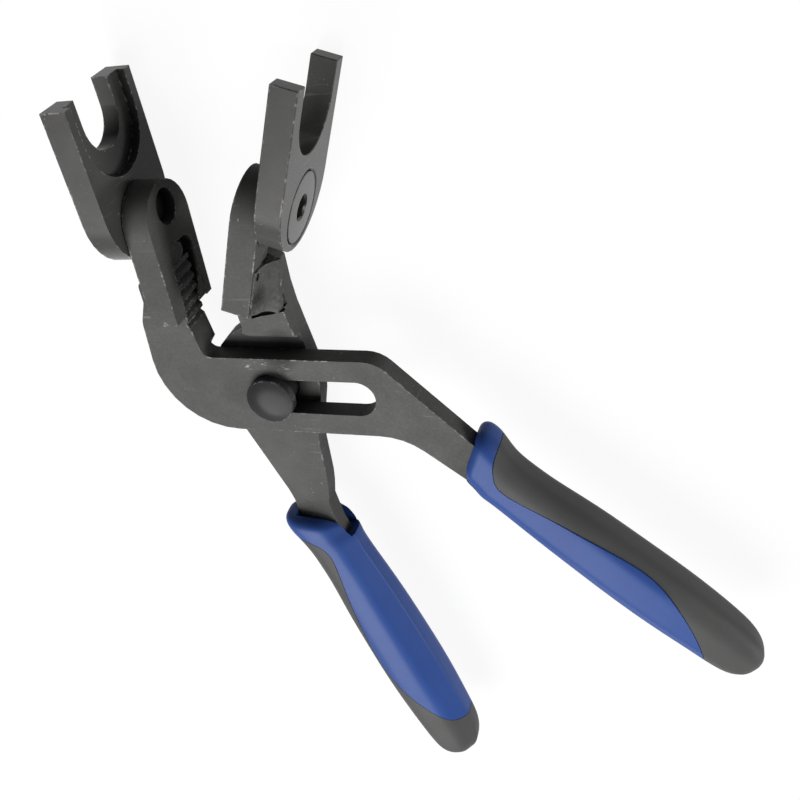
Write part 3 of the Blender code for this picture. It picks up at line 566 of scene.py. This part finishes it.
def grip_form(name, handle, inset=0.0, facet=()):
    """A grip along X with its outer side to +Y, or what is left of it under a skin."""
    deselect()
    bpy.ops.mesh.primitive_plane_add(size=2 * MM)
    piece = bpy.context.object
    piece.name = name
    shape(piece)
    bpy.ops.mesh.select_all(action="SELECT")
    bpy.ops.mesh.bevel(offset=CORNER_ROUND * MM, segments=CORNER_STEPS, affect="VERTICES")
    bpy.ops.transform.rotate(value=math.pi / 2, orient_axis="Y", center_override=(0, 0, 0))
    choose("verts", lambda vertex: vertex.co.y < -INNER_STEP * MM)
    bpy.ops.transform.resize(value=(1, 1, INNER_DROP), center_override=(0, 0, 0))
    for across, share in facet:
        choose("verts", lambda vertex: (
            abs(vertex.co.y - across * MM) < FACET_REACH * MM and vertex.co.z * handle["outward"] > 0.1 * MM
        ))
        bpy.ops.transform.resize(value=(1, 1, share), center_override=(0, 0, 0))
    bpy.ops.mesh.select_all(action="SELECT")
    centre, size, tilt = Vector(), Vector((1, 1, 1)), 0.0
    last = GRIP_SECTIONS[-1][0]
    stretch = (handle["length"] - STRAIGHT_END) / (last - STRAIGHT_END)
    for i, (distance, outer, inner, depth, lift) in enumerate(GRIP_SECTIONS):
        fade = max(0, 1 - distance / COLLAR_END)
        reach = distance + max(0, distance - STRAIGHT_END) * (stretch - 1)
        reach += handle["lean"] * fade + inset * (1 - 2 * distance / last)
        half = max((outer + inner) / 2 * handle["size"] - inset, LEAST_HALF)
        new_tilt = handle["tilt"] * fade
        deep = max(depth * handle["size"] - inset, LEAST_HALF)
        new_size = Vector((1, half / math.cos(new_tilt), deep))
        new_centre = Vector((reach, (outer - inner) / 2 * handle["size"], lift * handle["outward"])) * MM
        if i:
            bpy.ops.mesh.extrude_region_move()
        turn_section(-tilt, centre)
        bpy.ops.transform.resize(
            value=(1, new_size.y / size.y, new_size.z / size.z), center_override=centre
        )
        bpy.ops.transform.translate(value=new_centre - centre)
        turn_section(new_tilt, new_centre)
        centre, size, tilt = new_centre, new_size, new_tilt
    bpy.ops.mesh.select_all(action="SELECT")
    bpy.ops.mesh.normals_make_consistent(inside=False)
    done()
    modify(piece, "SUBSURF", levels=1, render_levels=1)
    return piece


def turn_section(angle, centre):
    if abs(angle) > 1e-9:
        bpy.ops.transform.rotate(value=-angle, orient_axis="Z", center_override=centre)


def cover_outline(grow):
    """Plan outline of what a cover holds, moved out by a gap."""
    drawn = curve_through(COVER_EDGE, 8)
    moved = []
    for i, here in enumerate(drawn):
        run = (drawn[min(i + 1, len(drawn) - 1)] - drawn[max(i - 1, 0)]).normalized()
        away = Vector((run.y, -run.x))
        moved.append(here + away * math.copysign(grow, -(away.x + away.y)))
    far = ((BOUND_END, -BOUND_SIDE), (BOUND_END, BOUND_SIDE), (BOUND_FRONT, BOUND_SIDE))
    return moved + [Vector(corner) for corner in far]


def grips():
    """Each grip is a blue core on the tang, and a black cover let into its outer side and butt."""
    for side, handle in HANDLES.items():
        core = grip_form(side + "_grip_blue", handle, facet=handle["facet"])
        cover = grip_form(side + "_grip_black", handle, facet=handle["facet"] if handle["whole"] else ())
        under = grip_form("under_cover", handle, COVER_SKIN)
        seat = grip_form("cover_seat", handle, COVER_SKIN + COVER_GAP)
        region = slab("cover_region", cover_outline(0), -CUTTER_REACH, CUTTER_REACH)
        room = slab("cover_room", cover_outline(COVER_GAP), -CUTTER_REACH, CUTTER_REACH)
        cut(cut(cover, region, "INTERSECT"), under)
        cut(core, cut(room, seat))
        half, end = SHANK_HALF + SEAT_GAP, TANG_HALF + SEAT_GAP
        middle = (handle["tang_height"] - handle["height"]) * handle["outward"]
        deep = LEVER_THICKNESS / 2 + SEAT_GAP
        corners = [
            (MOUTH_FRONT, -half), (0, -half), (TANG_LENGTH, -end),
            (TANG_LENGTH, end), (0, half), (MOUTH_FRONT, half),
        ]
        tang = slab("tang_room", corners, middle - deep, middle + deep)
        middle = (handle["mouth_height"] - handle["height"]) * handle["outward"]
        corners = [
            (MOUTH_FRONT, -handle["notch"]), (NOTCH_LENGTH, -handle["notch"]),
            (MOUTH_LENGTH, -MOUTH_HALF + 0.1), (MOUTH_LENGTH, MOUTH_HALF), (MOUTH_FRONT, MOUTH_HALF),
        ]
        mouth = slab("mouth_room", corners, middle - handle["mouth_depth"], middle + handle["mouth_depth"])
        cut(cut(core, tang), mouth)
        discard(under, seat, region, room, tang, mouth)
        angle, outward = handle["angle"], handle["outward"]
        along = Vector((math.cos(angle), math.sin(angle), 0))
        across = Vector((-along.y, along.x, 0))
        out = across * outward
        place = Matrix((along, out, along.cross(out))).transposed().to_4x4()
        place.translation = PIVOT + (across * handle["offset"] + along * handle["start"]) * MM
        place.translation.z += handle["height"] * MM
        body = side + "_lever"
        for piece, slot, material, node in (
            (core, "blue_plastic", BLUE, side + "_grip_core"),
            (cover, "black_rubber", BLACK, side + "_grip_cover"),
        ):
            settle(piece, place)
            smooth(piece, 38)
            place_on(piece, body, slot, material, node)


def pivot_hardware():
    """Domed bolt with the washer and chamfered nut behind it."""
    seat = LEVER_THICKNESS + SEAT_GAP
    edge = seat + BOLT_WALL
    flat = BOLT_HEAD - BOLT_EDGE
    dome = [(flat * k / 10, edge + BOLT_CROWN * (1 - (k / 10) ** 2)) for k in range(11)]
    turn = math.pi / 8
    rim = [
        (flat + BOLT_EDGE * math.sin(turn * k), edge - BOLT_EDGE * (1 - math.cos(turn * k)))
        for k in range(1, 5)
    ]
    tip = -LEVER_THICKNESS - WASHER_THICKNESS - NUT_HEIGHT - 2 * SEAT_GAP - 1.0
    bolt = turned("bolt", [
        *dome, *rim, (BOLT_HEAD, seat + 0.3), (BOLT_HEAD - 0.3, seat), (BOLT_SHANK, seat),
        (BOLT_SHANK, tip + 1), (BOLT_SHANK - 1, tip), (0, tip),
    ], 96)
    top = -LEVER_THICKNESS - SEAT_GAP
    low = top - WASHER_THICKNESS
    ring = turned("washer", [
        (0, top), (WASHER_RADIUS - 0.4, top), (WASHER_RADIUS, top - 0.3), (WASHER_RADIUS, low + 0.3),
        (WASHER_RADIUS - 0.4, low), (0, low),
    ], 96)
    top = low - SEAT_GAP
    low = top - NUT_HEIGHT
    nut = hexagon("nut", NUT_RADIUS, low, top)
    form = turned("nut_form", [
        (0, top), (NUT_RADIUS - 0.6, top), (NUT_RADIUS + 0.3, top - 0.5), (NUT_RADIUS + 0.3, low + 1.0),
        (NUT_FLAT - 0.3, low), (0, low),
    ], 96)
    cut(nut, form, "INTERSECT")
    for piece in (ring, nut):
        hole = pin("bore", BOLT_SHANK + 0.2, -40, 0)
        cut(piece, hole)
        discard(hole)
    discard(form)
    modify(nut, "BEVEL", width=0.25 * MM, segments=2, limit_method="ANGLE", angle_limit=math.radians(28))
    for piece, node in ((bolt, "pivot_bolt"), (ring, "pivot_washer"), (nut, "pivot_nut")):
        settle(piece, Matrix.Translation(PIVOT))
        smooth(piece, 28)
        place_on(piece, "pivot_pin", "bright_steel", BRIGHT, node)


def screw_frame(side):
    """Frame of a fork screw: Z into the block, Y towards the fork's tips."""
    joint = JOINTS[side + "_fork_swivel"]
    inward = Vector(joint["axis"])
    tips = Vector((-inward.y, inward.x, 0)) * math.copysign(1, inward.x)
    place = Matrix((tips.cross(inward), tips, inward)).transposed().to_4x4()
    place.translation = Vector(joint["pos_m"])
    return place


def screws():
    """Countersunk screws with chamfered hexagon sockets."""
    for side, body in (("left", "slotted_lever"), ("right", "pivot_lever")):
        face = -SEAT_GAP / 2 - FORK_THICKNESS
        edge = face + SCREW_EDGE
        piece = turned(side + "_screw", [
            (0, face), (SCREW_HEAD - 0.45, face), (SCREW_HEAD - 0.15, face + 0.12), (SCREW_HEAD, face + 0.4),
            (SCREW_HEAD, edge), (SCREW_SHANK, edge + SCREW_HEAD - SCREW_SHANK), (SCREW_SHANK, SCREW_TIP - 1),
            (SCREW_SHANK - 1, SCREW_TIP), (0, SCREW_TIP),
        ], 96)
        socket = hexagon("socket", SOCKET_RADIUS, face - 1, face + SOCKET_DEPTH)
        lead = turned("socket_lead", [
            (0, face - 1), (SOCKET_RADIUS + SOCKET_LEAD, face - 1),
            (SOCKET_RADIUS + SOCKET_LEAD - 2, face + 1), (0, face + 1),
        ])
        cut(cut(piece, socket), lead)
        discard(socket, lead)
        settle(piece, screw_frame(side))
        smooth(piece, 28)
        place_on(piece, body, "machined_steel", SCREWS, "fork_screw_" + side)


def plates():
    """Levers, jaw blocks and forks: merged copies of the solids with rounded edges."""
    for node, name, body, slot, material, width in (
        ("slotted_lever", "front_lever", "slotted_lever", "forged_steel", FORGED, 0.6),
        ("pivot_lever", "back_lever", "pivot_lever", "forged_steel", FORGED, 0.6),
        ("jaw_block_left", "left_block", "slotted_lever", "machined_steel", BLOCKS, 0.45),
        ("jaw_block_right", "right_block", "pivot_lever", "machined_steel", BLOCKS, 0.45),
        ("fork_left", "left_fork_plate", "left_fork", "machined_steel", MACHINED, 0.4),
        ("fork_right", "right_fork_plate", "right_fork", "machined_steel", MACHINED, 0.4),
    ):
        piece = merged_copy(node, name)
        if name == "back_lever":
            corner = PIVOT + Vector((0, PAD_LOW, PAD_TOP)) * MM
            shape(piece)
            choose("edges", lambda edge: all(
                max(abs(vertex.co.y - corner.y), abs(vertex.co.z - corner.z)) < 0.1 * MM
                for vertex in edge.verts
            ))
            bpy.ops.mesh.bevel(offset=PAD_ROUND * MM, segments=5, affect="EDGES", clamp_overlap=True)
            done()
        soften(piece, width * MM)
        if name == "back_lever":
            outline = [(x, y - CREASE_HALF) for x, y in CREASE]
            outline += [(x, y + CREASE_HALF) for x, y in reversed(CREASE)]
            groove = slab("groove", outline, CREASE_FLOOR, CREASE_TOP)
            settle(groove, Matrix.Translation(PIVOT))
            cut(piece, groove)
            discard(groove)
            smooth(piece, 40)
        place_on(piece, body, slot, material, node)


def loft(name, loops):
    """A closed solid through loops of points in mm, each with the same count."""
    rings = [line(name, [[value * MM for value in point] for point in (*loop, loop[0])]) for loop in loops]
    done()
    deselect()
    for ring in rings:
        ring.select_set(True)
    bpy.context.view_layer.objects.active = rings[0]
    bpy.ops.object.join()
    shape(rings[0])
    bpy.ops.mesh.select_all(action="SELECT")
    bpy.ops.mesh.remove_doubles(threshold=2e-6)
    bpy.ops.mesh.bridge_edge_loops()
    bpy.ops.mesh.select_all(action="DESELECT")
    bpy.ops.mesh.select_mode(type="EDGE")
    bpy.ops.mesh.select_non_manifold()
    bpy.ops.mesh.fill_holes(sides=0)
    bpy.ops.mesh.select_all(action="SELECT")
    bpy.ops.mesh.normals_make_consistent(inside=False)
    return done()


def lumpy(piece, grain, height):
    """Uneven surface of metal that ran and set."""
    modify(piece, "REMESH", mode="VOXEL", voxel_size=WELD_VOXEL * MM)
    for share, scale in ((1.0, grain), (0.16, grain * 0.22)):
        clouds = bpy.data.textures.new("weld_clouds", "CLOUDS")
        clouds.noise_scale = scale * MM
        modify(
            piece, "DISPLACE", texture=clouds, texture_coords="LOCAL",
            strength=height * share * MM, mid_level=0.5,
        )
    hold(piece)
    bpy.ops.object.shade_smooth()
    return piece


def welds():
    """Fillets and fillings that hold the blocks on the jaws."""
    for name, side, outline, low, high, lumps, material, nodes in (
        ("left_weld", "left", LEFT_FILL, 0.6, 9.3, 0.7, FORGED, ["jaw_weld_left"]),
        ("left_far_weld", "left", LEFT_FAR_FILL, 0.8, 9.9, 0.25, BLOCKS, []),
        ("right_slot_weld", "right", RIGHT_FILL, 0.7, 9.2, 0.5, FORGED, []),
    ):
        upward, body = {"left": (-1, "slotted_lever"), "right": (1, "pivot_lever")}[side]
        fill = slab(name, [((height - AXIS_HEIGHT) * upward, along) for along, height in outline], low, high)
        settle(lumpy(fill, FILL_GRAIN, lumps), screw_frame(side))
        place_on(fill, body, "forged_steel", material, *nodes)
    loops = []
    for along, top, fold, foot in RIGHT_FILLET:
        drop = top - foot
        profile = [
            (FILLET_ROOT, top - 0.7), (0.25, top),
            *((out * fold, foot + share * drop) for out, share in FILLET_FACE),
            (fold, foot), (fold + 0.8, foot - FILLET_SUNK), (FILLET_ROOT, foot - FILLET_SUNK),
        ]
        loops.append([(height - AXIS_HEIGHT, along, -out) for out, height in profile])
    fillet = loft("right_weld", loops)
    pit = pin("pit", PIT_RADIUS, -4, 4)
    settle(pit, Matrix.Translation(Vector(WELD_PIT) * MM))
    cut(lumpy(fillet, *FILLET_LUMPS), pit)
    discard(pit)
    settle(fillet, screw_frame("right"))
    smooth(fillet, 50)
    place_on(fillet, "pivot_lever", "forged_steel", FORGED, "jaw_weld_right")


plates()
grips()
pivot_hardware()
screws()
welds()


def studio():
    """Pale floor, soft light from above the grips, and the camera at the photograph's angle."""
    deselect()
    bpy.ops.mesh.primitive_plane_add(size=FLOOR_SIZE, location=(0, 0, 0))
    floor = bpy.context.object
    floor.name = "floor"
    made, tree, shader = finish("pale_floor", {})
    rays = put(tree, "ShaderNodeLightPath").outputs
    seen = rays["Is Camera Ray"]
    for kind in ("Is Glossy Ray", "Is Transmission Ray"):
        seen = put(tree, "ShaderNodeMath", {0: seen, 1: rays[kind]}, operation="MAXIMUM").outputs[0]
    matt = put(tree, "ShaderNodeBsdfDiffuse", {"Color": (*[FLOOR_LIT] * 3, 1)}).outputs[0]
    pale = put(tree, "ShaderNodeBsdfDiffuse", {"Color": (*[FLOOR_SEEN] * 3, 1)}).outputs[0]
    glow = put(tree, "ShaderNodeEmission", {"Color": (1, 1, 1, 1), "Strength": FLOOR_GLOW}).outputs[0]
    white = put(tree, "ShaderNodeAddShader", {0: pale, 1: glow}).outputs[0]
    mixed = put(tree, "ShaderNodeMixShader", {0: seen, 1: matt, 2: white}).outputs[0]
    tree.nodes.remove(shader)
    tree.links.new(mixed, tree.nodes["Material Output"].inputs["Surface"])
    floor.data.materials.append(made)

    world = bpy.data.worlds.new("studio_world")
    world.use_nodes = True
    tree = world.node_tree
    rays = put(tree, "ShaderNodeLightPath").outputs
    dim = span(tree, rays["Is Glossy Ray"], 0, 1, WORLD_LIGHT, WORLD_GLOSS)
    seen = span(tree, rays["Is Camera Ray"], 0, 1, 0, WORLD_SEEN)
    strength = put(tree, "ShaderNodeMath", {0: dim, 1: seen}, operation="MAXIMUM").outputs[0]
    backdrop = tree.nodes["Background"]
    backdrop.inputs["Color"].default_value = (1, 1, 1, 1)
    tree.links.new(strength, backdrop.inputs["Strength"])
    bpy.context.scene.world = world

    aim = Vector(LIGHT_AIM)
    for name, direction, far, size, watts in LAMPS:
        lamp = bpy.data.lights.new(name, "AREA")
        lamp.shape = "DISK"
        lamp.size = size
        lamp.energy = watts
        holder = bpy.data.objects.new(name, lamp)
        bpy.context.scene.collection.objects.link(holder)
        holder.location = aim + Vector(direction).normalized() * far
        holder.rotation_euler = (aim - holder.location).to_track_quat("-Z", "Y").to_euler()

    view = bpy.data.cameras.new("camera")
    view.sensor_width = SENSOR
    view.lens = LENS
    view.shift_x, view.shift_y = LENS_SHIFT
    holder = bpy.data.objects.new("camera", view)
    bpy.context.scene.collection.objects.link(holder)
    holder.location = PIVOT + Vector(CAMERA_PLACE)
    holder.rotation_euler = [math.radians(turn) for turn in CAMERA_TURN]
    bpy.context.scene.camera = holder
    bpy.context.scene.view_settings.view_transform = "Standard"


studio()
deselect()
